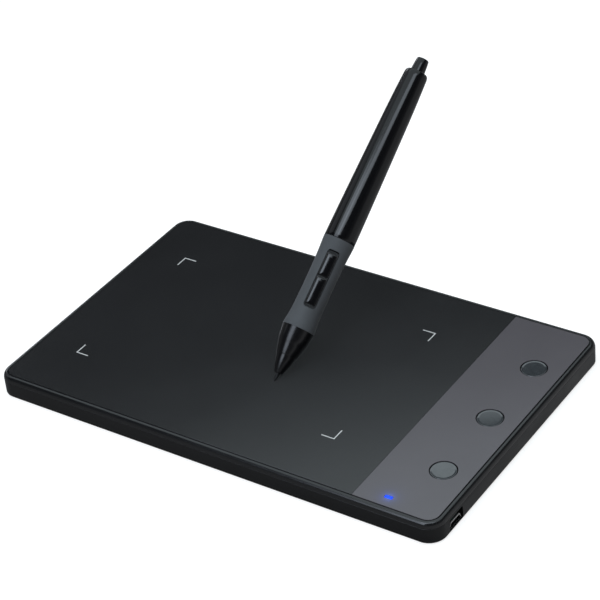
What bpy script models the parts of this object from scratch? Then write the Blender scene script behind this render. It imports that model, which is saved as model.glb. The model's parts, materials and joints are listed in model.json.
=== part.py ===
"""Small pen drawing tablet with its cordless pen standing on the drawing sheet.

World frame: origin at the middle of the tablet's footprint on the table, +X to the
side with the keys, +Y to the back, +Z up. All sizes are in metres.
"""

import bpy
import bmesh
from math import cos, pi, radians, sin
from mathutils import Matrix

MM = 0.001

# ---------------------------------------------------------------- tablet dimensions
TABLET_WIDTH = 173.5 * MM
TABLET_DEPTH = 110.0 * MM
CORNER_RADIUS = 6.0 * MM
WALL = 1.6 * MM
GAP = 0.05 * MM                     # clearance between pieces that rest on each other

FOOT_HEIGHT = 0.5 * MM              # underside of the case above the table
FLOOR = 1.4 * MM
SEAM_Z = 6.1 * MM                   # joint between the two half shells
DECK_UNDERSIDE_Z = 6.55 * MM
DECK_Z = 7.75 * MM                  # seat of the two top sheets
SHEET_Z = 8.2 * MM                  # drawing surface
RIM_Z = 8.25 * MM                   # highest line of the rim around the sheets
RIM_SHOULDER = 1.5 * MM             # how far the rounded shoulder leans inwards
RIM_INSET = 1.85 * MM               # outer face to inner face of the rim
SHEET_INSET = 2.15 * MM             # outer face to the edge of the sheets
KEY_STRIP_X = 55.35 * MM            # line where the dark sheet meets the key strip

BOARD_Z = (3.7 * MM, 4.7 * MM)
BOARD_SIZE = (168.0 * MM, 104.6 * MM)

SCREW_PLACES = [(sx * 70.0 * MM, sy * 43.0 * MM) for sx in (-1, 1) for sy in (-1, 1)]
FOOT_RADIUS = 5.0 * MM

KEY_X = 74.8 * MM
KEY_PITCH = 29.7 * MM
KEY_RADIUS = 4.4 * MM
KEY_GAP = 0.25 * MM

LIGHT_PLACE = (66.3 * MM, -48.7 * MM)
LIGHT_SIZE = (2.7 * MM, 1.2 * MM)

USB_Y = -42.8 * MM
USB_NOTCH = {"width": 8.0 * MM, "low": 0.85 * MM, "top": 5.35 * MM, "corner": 0.8 * MM}
USB_SHELL = {"length": 5.4 * MM, "width": 6.9 * MM, "low": 0.95 * MM, "top": 3.25 * MM}
USB_SHELL_FRONT = TABLET_WIDTH / 2 - 0.5 * MM
USB_TAPER = 0.78                    # width of the socket's upper side over its lower side

# ------------------------------------------------------------------- pen dimensions
PEN_LENGTH = 120.3 * MM
PEN_TIP = (1.35 * MM, -15.2 * MM, SHEET_Z + 0.2 * MM)
PEN_HEADING = radians(85.0)         # compass direction in which the pen leans, from +X
PEN_RISE = radians(39.9)            # angle between the pen and the sheet
PEN_SPIN = radians(-147.0)          # turn about its axis: where the side buttons face

CONE_START = 2.7 * MM
CONE_STEP = 9.2 * MM
GRIP_START = 19.1 * MM
GRIP_END = 51.8 * MM
SHOULDER = 115.4 * MM
WINDOW = (26.6 * MM, 47.5 * MM)
WINDOW_WIDTH = 4.3 * MM
BUTTON_WIDTH = 3.6 * MM
BUTTON_SPANS = {"lower": (27.6 * MM, 37.5 * MM), "upper": (38.0 * MM, 46.2 * MM)}
BUTTON_BOTTOM = 2.35 * MM           # distances from the pen's axis
BUTTON_TOP = 5.1 * MM
CELL = {"radius": 4.0 * MM, "start": 53.7 * MM, "length": 42.0 * MM}

# --------------------------------------------------------------------------- colours
COLOURS = {
    "case_black": ((0.020, 0.022, 0.024), 0.38, 0.0),
    "sheet_dark": ((0.030, 0.033, 0.035), 0.55, 0.0),
    "strip_grey": ((0.115, 0.118, 0.130), 0.50, 0.0),
    "key_grey": ((0.060, 0.068, 0.073), 0.35, 0.0),
    "light_blue": ((0.010, 0.060, 0.800), 0.30, 0.0),
    "rubber_black": ((0.018, 0.018, 0.018), 0.85, 0.0),
    "board_green": ((0.010, 0.120, 0.050), 0.45, 0.0),
    "chip_black": ((0.015, 0.015, 0.016), 0.50, 0.0),
    "nib_black": ((0.012, 0.012, 0.013), 0.35, 0.0),
    "steel": ((0.550, 0.560, 0.580), 0.30, 1.0),
    "plastic_white": ((0.750, 0.740, 0.700), 0.45, 0.0),
    "gloss_black": ((0.010, 0.010, 0.012), 0.12, 0.0),
    "grip_grey": ((0.090, 0.100, 0.110), 0.75, 0.0),
    "copper": ((0.700, 0.280, 0.110), 0.35, 1.0),
    "cell_wrap": ((0.050, 0.160, 0.350), 0.35, 0.0),
}


# --------------------------------------------------------------------------- helpers
def clear_scene():
    """Remove every object, so the model starts from an empty file."""
    for old in list(bpy.data.objects):
        bpy.data.objects.remove(old, do_unlink=True)


def new_collection(name):
    group = bpy.data.collections.new(name)
    bpy.context.scene.collection.children.link(group)
    return group


def finish_material(name):
    """The Principled material of one finish, made once and shared."""
    found = bpy.data.materials.get(name)
    if found:
        return found
    colour, roughness, metallic = COLOURS[name]
    made = bpy.data.materials.new(name)
    made.use_nodes = True
    shader = made.node_tree.nodes["Principled BSDF"]
    shader.inputs["Base Color"].default_value = (*colour, 1.0)
    shader.inputs["Roughness"].default_value = roughness
    shader.inputs["Metallic"].default_value = metallic
    made.diffuse_color = (*colour, 1.0)
    return made


def object_from_bmesh(name, form, finish, parent=None, origin=(0.0, 0.0, 0.0)):
    """Link a bmesh as a named part; a part without a finish is a cutter or a filler."""
    bmesh.ops.recalc_face_normals(form, faces=form.faces)
    mesh = bpy.data.meshes.new(name)
    form.to_mesh(mesh)
    form.free()
    made = bpy.data.objects.new(name, mesh)
    made.location = origin
    made.parent = parent
    if finish:
        mesh.materials.append(finish_material(finish))
        PARTS.objects.link(made)
    else:
        made.hide_render = True
        made.display_type = "WIRE"
        CUTTERS.objects.link(made)
    return made


def block(name, low, high, finish=None, parent=None, origin=(0.0, 0.0, 0.0)):
    """A box between two corners, given about its own origin."""
    form = bmesh.new()
    bmesh.ops.create_cube(form, size=1.0)
    size = [b - a for a, b in zip(low, high)]
    middle = [(a + b) / 2 for a, b in zip(low, high)]
    bmesh.ops.scale(form, vec=size, verts=form.verts)
    bmesh.ops.translate(form, vec=middle, verts=form.verts)
    return object_from_bmesh(name, form, finish, parent, origin)


def disc(name, place, radius, low, high, finish=None, parent=None, sides=20):
    """An upright cylinder whose origin is on its own axis."""
    form = bmesh.new()
    bmesh.ops.create_cone(form, cap_ends=True, segments=sides, radius1=radius,
                          radius2=radius, depth=high - low)
    bmesh.ops.translate(form, vec=(0.0, 0.0, (low + high) / 2), verts=form.verts)
    return object_from_bmesh(name, form, finish, parent, (place[0], place[1], 0.0))


def rounded_ring(half_x, half_y, radius, steps=5):
    """Points of a rectangle with round corners, counter-clockwise from above."""
    points = []
    for quarter, (sx, sy) in enumerate([(1, 1), (-1, 1), (-1, -1), (1, -1)]):
        for step in range(steps + 1):
            angle = (quarter + step / steps) * pi / 2
            points.append((sx * (half_x - radius) + radius * cos(angle),
                           sy * (half_y - radius) + radius * sin(angle)))
    return points


def shell_loft(name, rings, finish=None, half=(TABLET_WIDTH / 2, TABLET_DEPTH / 2)):
    """A closed body through rounded rectangles, each one (inset, height)."""
    form = bmesh.new()
    loops = []
    for inset, height in rings:
        radius = max(CORNER_RADIUS - inset, 1.2 * MM)
        outline = rounded_ring(half[0] - inset, half[1] - inset, radius)
        loops.append([form.verts.new((x, y, height)) for x, y in outline])
    for lower, upper in zip(loops, loops[1:]):
        count = len(lower)
        for i in range(count):
            j = (i + 1) % count
            form.faces.new((lower[i], lower[j], upper[j], upper[i]))
    form.faces.new(loops[0])
    form.faces.new(loops[-1])
    return object_from_bmesh(name, form, finish)


def turned(name, profile, finish, parent=None, steps=24, closed=False):
    """A turned piece: (radius, height) points swept round Z by a Screw modifier.

    An open profile starts and ends on the axis; a closed one is a ring's section.
    """
    mesh = bpy.data.meshes.new(name)
    points = [(radius, 0.0, height) for radius, height in profile]
    edges = [(i, i + 1) for i in range(len(points) - 1)]
    if closed:
        edges.append((len(points) - 1, 0))
    mesh.from_pydata(points, edges, [])
    made = bpy.data.objects.new(name, mesh)
    made.parent = parent
    screw = made.modifiers.new("turn", "SCREW")
    screw.axis = "Z"
    screw.angle = 2 * pi
    screw.steps = steps
    screw.render_steps = steps
    screw.use_merge_vertices = True
    screw.merge_threshold = 0.000001
    screw.use_smooth_shade = True
    if finish:
        mesh.materials.append(finish_material(finish))
        PARTS.objects.link(made)
    else:
        made.hide_render = True
        made.display_type = "WIRE"
        CUTTERS.objects.link(made)
    return made


def boolean(target, tool, operation="DIFFERENCE"):
    """Cut a piece with a tool, or join a filler to it."""
    step = target.modifiers.new(tool.name, "BOOLEAN")
    step.operation = operation
    step.solver = "EXACT"
    step.object = tool
    return target


def frame_empty(name, matrix, parent=None):
    """An empty that carries the pieces of one moving group."""
    empty = bpy.data.objects.new(name, None)
    empty.empty_display_size = 5 * MM
    PARTS.objects.link(empty)
    empty.parent = parent
    empty.matrix_local = matrix
    return empty


# ---------------------------------------------------------------------------- tablet
def make_bottom_case():
    """Tray with screw bosses, foot seats and the notch for the USB plug."""
    top = SEAM_Z - GAP
    edge = 0.3 * MM
    case = shell_loft("bottom_case", [
        (edge, FOOT_HEIGHT),
        (0.3 * edge, FOOT_HEIGHT + 0.3 * edge),
        (0.0, FOOT_HEIGHT + edge),
        (0.0, top),
        (WALL, top),
        (WALL, FOOT_HEIGHT + FLOOR),
    ], "case_black")
    boss_top = BOARD_Z[0] - 2 * GAP
    for number, place in enumerate(SCREW_PLACES, 1):
        boss = disc(f"boss_{number}", place, 3.6 * MM, FOOT_HEIGHT + FLOOR / 2, boss_top)
        boolean(case, boss, "UNION")
        boolean(case, disc(f"screw_hole_{number}", place, 1.1 * MM, 0.0, 5 * MM, sides=12))
        boolean(case, disc(f"head_seat_{number}", place, 2.2 * MM, 0.0, 2.6 * MM, sides=16))
        seat_top = FOOT_HEIGHT + 0.3 * MM
        boolean(case, disc(f"foot_seat_{number}", place, FOOT_RADIUS + 0.2 * MM, 0.0, seat_top))
    for number, x in enumerate((-25.0 * MM, 25.0 * MM), 1):
        post = disc(f"board_post_{number}", (x, 46.0 * MM), 2.4 * MM,
                    FOOT_HEIGHT + FLOOR / 2, boss_top, sides=12)
        boolean(case, post, "UNION")
    boolean(case, usb_notch_cutter())
    return case


def usb_notch_cutter():
    """Cutter for the plug's opening in the wall and the pocket under the socket."""
    half = USB_NOTCH["width"] / 2
    back = USB_SHELL_FRONT - USB_SHELL["length"] - 0.5 * MM
    cutter = block("usb_notch_cutter", (back, USB_Y - half, USB_NOTCH["low"]),
                   (TABLET_WIDTH / 2 + 1 * MM, USB_Y + half, USB_NOTCH["top"]))
    form = bmesh.new()
    form.from_mesh(cutter.data)
    middle = (USB_NOTCH["low"] + USB_NOTCH["top"]) / 2
    upper_sides = [edge for edge in form.edges
                   if all(vert.co.z > middle for vert in edge.verts)
                   and abs(edge.verts[0].co.y - edge.verts[1].co.y) < GAP]
    bmesh.ops.bevel(form, geom=upper_sides, offset=USB_NOTCH["corner"], segments=3,
                    profile=0.5, affect="EDGES")
    form.to_mesh(cutter.data)
    form.free()
    return cutter


def make_top_case():
    """Upper shell: rounded shoulder, rim, seat for the sheets, posts and key holes."""
    shoulder = []
    shoulder_steps = 4
    for step in range(shoulder_steps + 1):
        angle = step / shoulder_steps * pi / 2
        shoulder.append((RIM_SHOULDER * (1 - cos(angle)),
                         SEAM_Z + (RIM_Z - SEAM_Z) * sin(angle)))
    lip_inset = WALL + GAP
    lip_z = 5.5 * MM
    case = shell_loft("top_case", [
        (lip_inset + 1.0 * MM, DECK_UNDERSIDE_Z),
        (lip_inset + 1.0 * MM, lip_z),
        (lip_inset, lip_z),
        (lip_inset, SEAM_Z),
        *shoulder,
        (RIM_INSET, RIM_Z - 0.1 * MM),
        (RIM_INSET, DECK_Z),
    ], "case_black")
    for number, place in enumerate(SCREW_PLACES, 1):
        post = disc(f"post_{number}", place, 2.6 * MM, BOARD_Z[0], DECK_UNDERSIDE_Z + 0.5 * MM)
        boolean(case, post, "UNION")
        boolean(case, disc(f"pilot_{number}", place, 1.0 * MM, 3 * MM, 7.3 * MM, sides=12))
    for number in (1, 2, 3):
        hole = disc(f"deck_key_hole_{number}", key_place(number), KEY_RADIUS + KEY_GAP,
                    6 * MM, 9 * MM, sides=24)
        boolean(case, hole)
    boolean(case, light_slot("deck_light_slot"))
    return case


def key_place(number):
    """Middle of an express key; key 1 is at the back."""
    return (KEY_X, (2 - number) * KEY_PITCH)


def light_slot(name):
    """Cutter for the status light's slot."""
    half_x = LIGHT_SIZE[0] / 2 + 0.1 * MM
    half_y = LIGHT_SIZE[1] / 2 + 0.1 * MM
    x, y = LIGHT_PLACE
    return block(name, (x - half_x, y - half_y, 6 * MM), (x + half_x, y + half_y, 9 * MM))


def make_sheets():
    """Dark drawing sheet and grey key strip, side by side in one seat."""
    low = DECK_Z + GAP
    far = 200 * MM
    split = {
        "drawing_sheet": (KEY_STRIP_X - 0.03 * MM, far),
        "key_strip": (-far, KEY_STRIP_X + 0.03 * MM),
    }
    finishes = {"drawing_sheet": "sheet_dark", "key_strip": "strip_grey"}
    for name, (cut_low, cut_high) in split.items():
        sheet = shell_loft(name, [(SHEET_INSET, low), (SHEET_INSET, SHEET_Z)], finishes[name])
        cutter = block(f"{name}_trim", (cut_low, -far, 7 * MM), (cut_high, far, 9 * MM))
        boolean(sheet, cutter)
    strip = bpy.data.objects["key_strip"]
    for number in (1, 2, 3):
        boolean(strip, disc(f"strip_key_hole_{number}", key_place(number),
                            KEY_RADIUS + KEY_GAP, 6 * MM, 9 * MM, sides=24))
    boolean(strip, light_slot("strip_light_slot"))


def make_key(number):
    """Dished round key cap, its switch on the board and the switch's plunger."""
    x, y = key_place(number)
    travel_frame = frame_empty(f"key_{number}_frame", Matrix.Translation((x, y, 0.0)))
    flange = KEY_RADIUS + 0.9 * MM
    flange_top = DECK_UNDERSIDE_Z - GAP
    turned(f"key_cap_{number}", [
        (0.0, SHEET_Z - 0.55 * MM),
        (1.8 * MM, SHEET_Z - 0.48 * MM),
        (3.3 * MM, SHEET_Z - 0.25 * MM),
        (4.0 * MM, SHEET_Z - 0.10 * MM),
        (KEY_RADIUS, SHEET_Z - 0.30 * MM),
        (KEY_RADIUS, flange_top),
        (flange, flange_top),
        (flange, 6.05 * MM),
        (3.6 * MM, 6.05 * MM),
        (3.6 * MM, 6.4 * MM),
        (0.0, 6.4 * MM),
    ], "key_grey", travel_frame, steps=22)
    disc(f"key_plunger_{number}", (0.0, 0.0), 1.0 * MM, 5.4 * MM, 6.35 * MM,
         "plastic_white", travel_frame, sides=12)
    half = 2.3 * MM
    body = block(f"key_switch_{number}", (-half, -half, BOARD_Z[1] + GAP),
                 (half, half, 5.55 * MM), "steel", None, (x, y, 0.0))
    boolean(body, disc(f"switch_bore_{number}", (x, y), 1.15 * MM, 5.0 * MM, 7 * MM, sides=12))


def make_board():
    """Main board: the sensing grid with the controller at the key end."""
    half = (BOARD_SIZE[0] / 2, BOARD_SIZE[1] / 2)
    board = shell_loft("main_board", [(0.0, BOARD_Z[0]), (0.0, BOARD_Z[1])],
                       "board_green", half)
    for number, place in enumerate(SCREW_PLACES, 1):
        boolean(board, disc(f"board_hole_{number}", place, 2.9 * MM, 3 * MM, 6 * MM, sides=16))


def make_electronics():
    """What is soldered on the board, and the screening plate under it."""
    on_board = BOARD_Z[1] + GAP
    chips = {
        "controller_chip": ((62.0, 6.0), (9.0, 9.0, 1.0), "chip_black"),
        "amplifier_chip": ((62.0, -12.0), (5.0, 6.2, 0.9), "chip_black"),
        "crystal": ((62.0, 20.0), (3.2, 5.0, 0.8), "steel"),
        "status_led": ((LIGHT_PLACE[0] / MM, LIGHT_PLACE[1] / MM), (1.6, 0.8, 0.6), "plastic_white"),
    }
    for name, (place, size, finish) in chips.items():
        half_x, half_y = size[0] * MM / 2, size[1] * MM / 2
        x, y = place[0] * MM, place[1] * MM
        block(name, (-half_x, -half_y, on_board), (half_x, half_y, on_board + size[2] * MM),
              finish, None, (x, y, 0.0))
    block("shield_plate", (-80 * MM, -38.5 * MM, 3.3 * MM), (52 * MM, 38.5 * MM, 3.6 * MM), "steel")
    make_light_guide()


def make_light_guide():
    """Clear bar over the status lamp, flush with the key strip."""
    x, y = LIGHT_PLACE
    half_x, half_y = LIGHT_SIZE[0] / 2, LIGHT_SIZE[1] / 2
    step_z = DECK_UNDERSIDE_Z - GAP
    guide = block("light_guide", (-half_x, -half_y, step_z - 0.1 * MM),
                  (half_x, half_y, SHEET_Z), "light_blue", None, (x, y, 0.0))
    flange = 0.5 * MM
    foot = block("light_guide_foot", (x - half_x - flange, y - half_y - flange, 5.45 * MM),
                 (x + half_x + flange, y + half_y + flange, step_z))
    boolean(guide, foot, "UNION")


def usb_block(name, back, front, skin, finish=None):
    """A block with the socket's outline, narrower at its top, shrunk by a skin."""
    half = USB_SHELL["width"] / 2 - skin
    made = block(name, (back, -half, USB_SHELL["low"] + skin),
                 (front, half, USB_SHELL["top"] - skin), finish, None, (0.0, USB_Y, 0.0))
    middle = (USB_SHELL["low"] + USB_SHELL["top"]) / 2
    for vert in made.data.vertices:
        if vert.co.z > middle:
            vert.co.y *= USB_TAPER
    return made


def make_usb_socket():
    """Micro USB socket under the board, its mouth just inside the wall."""
    back = USB_SHELL_FRONT - USB_SHELL["length"]
    skin = 0.25 * MM
    shell = usb_block("usb_shell", back, USB_SHELL_FRONT, 0.0, "steel")
    inside = usb_block("usb_shell_inside", back + skin, USB_SHELL_FRONT + 1 * MM, skin)
    boolean(shell, inside)
    rear = back + skin + GAP
    core = usb_block("usb_core", rear, rear + 1.3 * MM, skin + GAP, "chip_black")
    tongue_half = (2.0 * MM, 0.3 * MM)
    tongue_z = (USB_SHELL["low"] + USB_SHELL["top"]) / 2
    tongue = block("usb_tongue", (rear + 1 * MM, USB_Y - tongue_half[0], tongue_z - tongue_half[1]),
                   (USB_SHELL_FRONT - 0.8 * MM, USB_Y + tongue_half[0], tongue_z + tongue_half[1]))
    boolean(core, tongue, "UNION")


def make_feet_and_screws():
    """A screw and a rubber foot over it at each corner of the underside."""
    seat = 2.55 * MM
    for number, place in enumerate(SCREW_PLACES, 1):
        foot = turned(f"rubber_foot_{number}", [
            (0.0, FOOT_HEIGHT + 0.25 * MM),
            (FOOT_RADIUS, FOOT_HEIGHT + 0.25 * MM),
            (FOOT_RADIUS, 0.3 * MM),
            (FOOT_RADIUS - 0.3 * MM, 0.0),
            (0.0, 0.0),
        ], "rubber_black", steps=20)
        foot.location = (*place, 0.0)
        screw = turned(f"case_screw_{number}", [
            (0.0, 7.2 * MM),
            (0.5 * MM, 7.0 * MM),
            (0.9 * MM, 6.4 * MM),
            (0.9 * MM, seat),
            (1.9 * MM, seat),
            (1.9 * MM, 1.5 * MM),
            (1.5 * MM, 1.25 * MM),
            (0.0, 1.25 * MM),
        ], "steel", steps=14)
        screw.location = (*place, 0.0)
        for turn in (0, 1):
            slot_half = ((1.2 * MM, 0.25 * MM), (0.25 * MM, 1.2 * MM))[turn]
            slot = block(f"screw_slot_{number}_{turn}", (-slot_half[0], -slot_half[1], 1.0 * MM),
                         (slot_half[0], slot_half[1], 1.8 * MM), None, None, (*place, 0.0))
            boolean(screw, slot)


# ------------------------------------------------------------------------------- pen
def pen_frame_matrix():
    """Pen frame: origin at the tip, +Z up the pen, +X towards the side buttons."""
    tilt = pi / 2 - PEN_RISE
    turn = Matrix.Rotation(PEN_HEADING, 4, "Z") @ Matrix.Rotation(tilt, 4, "Y")
    return Matrix.Translation(PEN_TIP) @ turn @ Matrix.Rotation(PEN_SPIN, 4, "Z")


def make_nib(pen):
    """Pointed plastic nib that slides back under pressure."""
    tip_radius = 0.35 * MM
    turned("nib", [
        (0.0, 18.3 * MM),
        (0.85 * MM, 18.3 * MM),
        (0.85 * MM, CONE_START),
        (0.5 * MM, 1.0 * MM),
        (0.32 * MM, tip_radius * 0.6),
        (0.2 * MM, tip_radius * 0.2),
        (0.0, 0.0),
    ], "nib_black", pen, steps=16)


def make_cone(pen):
    """Glossy front cone with a small step, bored for the nib and the coil."""
    turned("pen_cone", [
        (5.66 * MM, GRIP_START - GAP),
        (5.35 * MM, 16.5 * MM),
        (4.60 * MM, 12.6 * MM),
        (3.38 * MM, CONE_STEP),
        (3.12 * MM, CONE_STEP),
        (2.35 * MM, 6.2 * MM),
        (1.55 * MM, 3.4 * MM),
        (1.25 * MM, CONE_START),
        (1.05 * MM, CONE_START),
        (1.05 * MM, 9.4 * MM),
        (2.50 * MM, 9.9 * MM),
        (3.60 * MM, 13.0 * MM),
        (4.10 * MM, GRIP_START - GAP),
    ], "gloss_black", pen, closed=True)


def window_cutter(name, pen, width, low, high):
    """Cutter for the slot in which the side buttons sit."""
    return block(name, (1.5 * MM, -width / 2, low), (8 * MM, width / 2, high), None, pen)


def make_grip(pen):
    """Waisted soft grip with the button window."""
    grip = turned("pen_grip", [
        (5.50 * MM, GRIP_END),
        (5.45 * MM, 50.0 * MM),
        (5.20 * MM, 46.5 * MM),
        (5.00 * MM, 41.0 * MM),
        (4.93 * MM, 33.5 * MM),
        (4.98 * MM, 26.5 * MM),
        (5.10 * MM, 23.0 * MM),
        (5.45 * MM, 20.7 * MM),
        (5.68 * MM, GRIP_START),
        (4.00 * MM, GRIP_START),
        (4.00 * MM, GRIP_END),
    ], "grip_grey", pen, steps=28, closed=True)
    boolean(grip, window_cutter("grip_window", pen, WINDOW_WIDTH, *WINDOW))


def make_core(pen):
    """Inner tube: carries the board under the grip and the cup for the cell."""
    core = turned("pen_core", [
        (4.70 * MM, 57.0 * MM),
        (4.70 * MM, GRIP_END + 0.05 * MM),
        (3.95 * MM, GRIP_END + 0.05 * MM),
        (3.95 * MM, GRIP_START + 0.3 * MM),
        (3.25 * MM, GRIP_START + 0.3 * MM),
        (3.25 * MM, 52.0 * MM),
        (1.00 * MM, 52.3 * MM),
        (1.00 * MM, 53.0 * MM),
        (4.15 * MM, 53.0 * MM),
        (4.15 * MM, 57.0 * MM),
    ], "chip_black", pen, steps=20, closed=True)
    boolean(core, window_cutter("core_window", pen, WINDOW_WIDTH - 0.3 * MM,
                                WINDOW[0] + 0.2 * MM, WINDOW[1] - 0.2 * MM))


def make_pen_electronics(pen):
    """Coil round the nib, pressure sensor, board and the two side switches."""
    turned("pen_coil", [
        (2.45 * MM, 18.0 * MM),
        (2.45 * MM, 10.4 * MM),
        (1.15 * MM, 10.4 * MM),
        (1.15 * MM, 18.0 * MM),
    ], "copper", pen, steps=16, closed=True)
    turned("pressure_sensor", [
        (0.0, 21.6 * MM),
        (2.2 * MM, 21.6 * MM),
        (2.2 * MM, 19.3 * MM),
        (0.0, 19.3 * MM),
    ], "steel", pen, steps=16)
    board_top = 0.3 * MM
    block("pen_board", (board_top - 0.8 * MM, -2.5 * MM, 22.3 * MM),
          (board_top, 2.5 * MM, 51.5 * MM), "board_green", pen)
    for name, (low, high) in BUTTON_SPANS.items():
        middle = (low + high) / 2
        block(f"side_switch_{name}", (board_top + GAP, -1.5 * MM, middle - 1.8 * MM),
              (BUTTON_BOTTOM - 0.45 * MM, 1.5 * MM, middle + 1.8 * MM), "steel", pen)


def make_side_button(name, pen):
    """Crowned side button; it moves straight towards the pen's axis."""
    low, high = BUTTON_SPANS[name]
    middle = (low + high) / 2
    travel_frame = frame_empty(f"side_button_{name}_frame",
                               Matrix.Translation((0.0, 0.0, middle)), pen)
    form = bmesh.new()
    bmesh.ops.create_cube(form, size=1.0)
    size = (BUTTON_TOP - BUTTON_BOTTOM, BUTTON_WIDTH, high - low)
    bmesh.ops.scale(form, vec=size, verts=form.verts)
    bmesh.ops.translate(form, vec=((BUTTON_TOP + BUTTON_BOTTOM) / 2, 0.0, 0.0), verts=form.verts)
    top_edges = [edge for edge in form.edges
                 if all(vert.co.x > BUTTON_TOP - 0.1 * MM for vert in edge.verts)]
    bmesh.ops.bevel(form, geom=top_edges, offset=0.7 * MM, segments=3, profile=0.5,
                    affect="EDGES")
    object_from_bmesh(f"side_button_{name}", form, "gloss_black", travel_frame)


def make_cell(pen):
    """The slim AAAA cell, its front contact and the spring behind it."""
    start, length, radius = CELL["start"], CELL["length"], CELL["radius"]
    end = start + length
    turned("battery", [
        (0.0, end),
        (radius - 0.3 * MM, end),
        (radius, end - 0.3 * MM),
        (radius, start + 1.3 * MM),
        (radius - 0.3 * MM, start + 1.0 * MM),
        (1.6 * MM, start + 1.0 * MM),
        (1.6 * MM, start),
        (0.0, start),
    ], "cell_wrap", pen, steps=20)
    turned("battery_contact", [
        (0.0, start - 0.1 * MM),
        (3.9 * MM, start - 0.1 * MM),
        (3.9 * MM, start - 0.4 * MM),
        (0.0, start - 0.4 * MM),
    ], "steel", pen, steps=16)
    make_spring(pen, end + 0.3 * MM, end + 4.2 * MM)


def make_spring(pen, low, high, coil_radius=2.4 * MM, wire_radius=0.22 * MM, turns=4):
    """Round-wire contact spring; its points follow a helix."""
    per_turn = 12
    count = turns * per_turn + 1
    route = bpy.data.curves.new("battery_spring_route", "CURVE")
    route.dimensions = "3D"
    route.bevel_depth = wire_radius
    route.bevel_resolution = 1
    route.use_fill_caps = True
    line = route.splines.new("POLY")
    line.points.add(count - 1)
    for i in range(count):
        angle = 2 * pi * i / per_turn
        height = low + wire_radius + (high - low - 2 * wire_radius) * i / (count - 1)
        line.points[i].co = (coil_radius * cos(angle), coil_radius * sin(angle), height, 1.0)
    route.materials.append(finish_material("steel"))
    spring = bpy.data.objects.new("battery_spring", route)
    spring.parent = pen
    PARTS.objects.link(spring)


def make_barrel(pen):
    """Glossy tapered barrel, open at the grip end and bored for the end plug."""
    turned("pen_barrel", [
        (1.75 * MM, SHOULDER),
        (2.95 * MM, SHOULDER),
        (3.55 * MM, SHOULDER - 0.3 * MM),
        (3.92 * MM, SHOULDER - 0.9 * MM),
        (4.10 * MM, SHOULDER - 2.0 * MM),
        (4.30 * MM, 110.0 * MM),
        (4.46 * MM, 106.0 * MM),
        (4.69 * MM, 98.0 * MM),
        (5.00 * MM, 82.0 * MM),
        (5.21 * MM, 70.0 * MM),
        (5.40 * MM, 58.0 * MM),
        (5.45 * MM, GRIP_END + 0.15 * MM),
        (4.80 * MM, GRIP_END + 0.15 * MM),
        (4.80 * MM, 57.6 * MM),
        (4.15 * MM, 58.4 * MM),
        (4.15 * MM, 97.0 * MM),
        (3.20 * MM, 100.3 * MM),
        (2.90 * MM, 108.0 * MM),
        (1.75 * MM, 109.5 * MM),
    ], "gloss_black", pen, steps=28, closed=True)
    turned("end_plug", [
        (0.0, PEN_LENGTH),
        (1.80 * MM, PEN_LENGTH),
        (2.12 * MM, PEN_LENGTH - 0.35 * MM),
        (2.50 * MM, SHOULDER + 0.1 * MM),
        (1.65 * MM, SHOULDER + 0.1 * MM),
        (1.65 * MM, 110.0 * MM),
        (0.0, 110.0 * MM),
    ], "gloss_black", pen, steps=20)


def make_tablet():
    make_bottom_case()
    make_top_case()
    make_sheets()
    for number in (1, 2, 3):
        make_key(number)
    make_board()
    make_electronics()
    make_usb_socket()
    make_feet_and_screws()


def make_pen():
    pen = frame_empty("pen_frame", pen_frame_matrix())
    make_nib(pen)
    make_cone(pen)
    make_grip(pen)
    make_core(pen)
    make_pen_electronics(pen)
    for name in BUTTON_SPANS:
        make_side_button(name, pen)
    make_cell(pen)
    make_barrel(pen)


clear_scene()
PARTS = new_collection("pen_tablet")
CUTTERS = new_collection("cutters")
make_tablet()
make_pen()
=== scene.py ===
"""Looks of the small pen drawing tablet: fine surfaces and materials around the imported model.

All sizes are in metres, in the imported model's frame: origin in the middle of the tablet's
footprint on the table, +X towards the key strip, +Y to the back, +Z up. Pieces of the pen are
made in the pen's own frame: origin at the nib's tip, +Z up the pen, +X out of the side buttons.
"""

import json
from math import cos, pi, radians, sin

import bmesh
import bpy
from mathutils import Matrix, Vector

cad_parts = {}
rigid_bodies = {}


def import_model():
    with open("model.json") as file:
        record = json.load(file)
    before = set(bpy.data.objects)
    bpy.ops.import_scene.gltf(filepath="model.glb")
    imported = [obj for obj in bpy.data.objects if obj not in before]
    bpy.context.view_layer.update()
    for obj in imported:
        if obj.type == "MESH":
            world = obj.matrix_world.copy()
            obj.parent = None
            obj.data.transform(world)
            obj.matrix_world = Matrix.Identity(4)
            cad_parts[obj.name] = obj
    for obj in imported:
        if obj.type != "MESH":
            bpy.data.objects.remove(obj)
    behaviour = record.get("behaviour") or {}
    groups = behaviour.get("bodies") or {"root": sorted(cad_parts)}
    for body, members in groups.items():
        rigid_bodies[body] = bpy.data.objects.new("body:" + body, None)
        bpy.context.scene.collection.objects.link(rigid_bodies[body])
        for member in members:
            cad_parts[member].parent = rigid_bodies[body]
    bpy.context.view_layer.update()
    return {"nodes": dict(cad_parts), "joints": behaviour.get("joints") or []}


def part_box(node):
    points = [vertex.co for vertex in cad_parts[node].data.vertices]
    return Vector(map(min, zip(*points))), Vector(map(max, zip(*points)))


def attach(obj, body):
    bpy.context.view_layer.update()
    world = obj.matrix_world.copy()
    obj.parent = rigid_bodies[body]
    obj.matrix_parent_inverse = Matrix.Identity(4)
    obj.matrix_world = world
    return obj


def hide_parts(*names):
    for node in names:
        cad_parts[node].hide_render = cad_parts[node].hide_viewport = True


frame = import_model()
MM = 0.001

# ------------------------------------------------------------------- places, from the frame
CASE_LOW, CASE_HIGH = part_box("bottom_case")
TOP_LOW, TOP_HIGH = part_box("top_case")
SHEET_LOW, SHEET_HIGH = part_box("drawing_sheet")

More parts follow.
